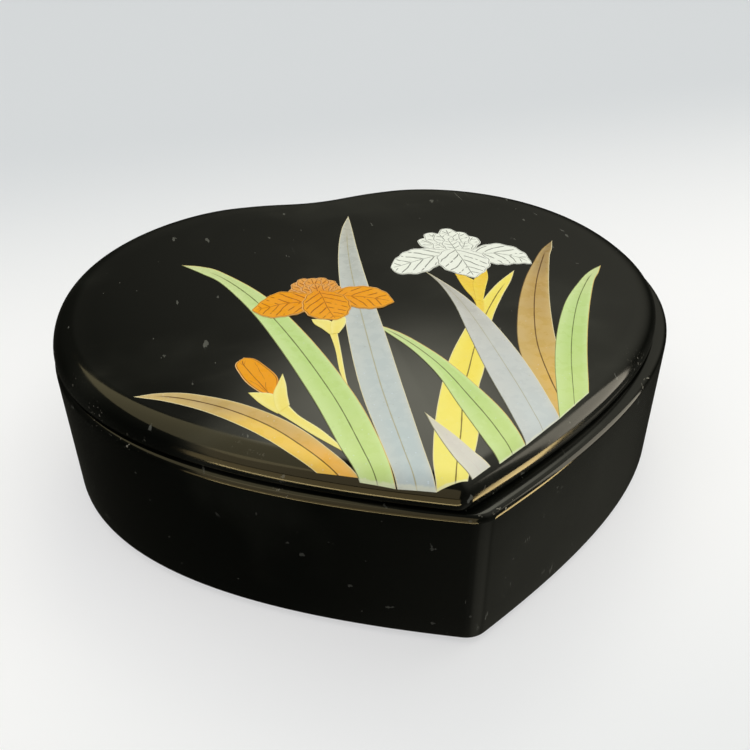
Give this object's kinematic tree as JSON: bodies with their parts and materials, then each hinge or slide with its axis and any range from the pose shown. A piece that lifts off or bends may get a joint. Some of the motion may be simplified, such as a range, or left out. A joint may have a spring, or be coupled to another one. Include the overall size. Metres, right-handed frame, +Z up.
{
  "type": "heart-shaped trinket box",
  "caption": "Low heart-shaped black lacquered trinket box with a loose domed lift-off lid, locating lip and velvet-lined inside.",
  "frame": {"origin": "on the surface the box stands on, under the middle of its length and width", "axes": "+Z up; +X across the two lobes, to the right when the heart's point faces the viewer; -Y towards the point"},
  "size_m": [0.115, 0.105, 0.0331],
  "materials": {
    "lacquer": "polished",
    "enamel": "gloss",
    "velvet": "matte",
    "card": "matte",
    "felt": "matte"
  },
  "bodies": {
    "base": {"base_wall": "lacquer", "floor_board": "lacquer", "base_felt": "felt", "wall_lining_left": "velvet", "wall_lining_right": "velvet", "floor_pad_card": "card", "floor_pad": "velvet"},
    "lid": {"lid_shell": "lacquer", "lid_locating_lip": "lacquer", "lid_lining_card": "card", "lid_lining": "velvet"}
  },
  "joints": [
    {"name": "lid_lift", "type": "slide", "parent": "base", "child": "lid", "axis": [0, 0, 1], "range_m": [0, 0.06]}
  ]
}
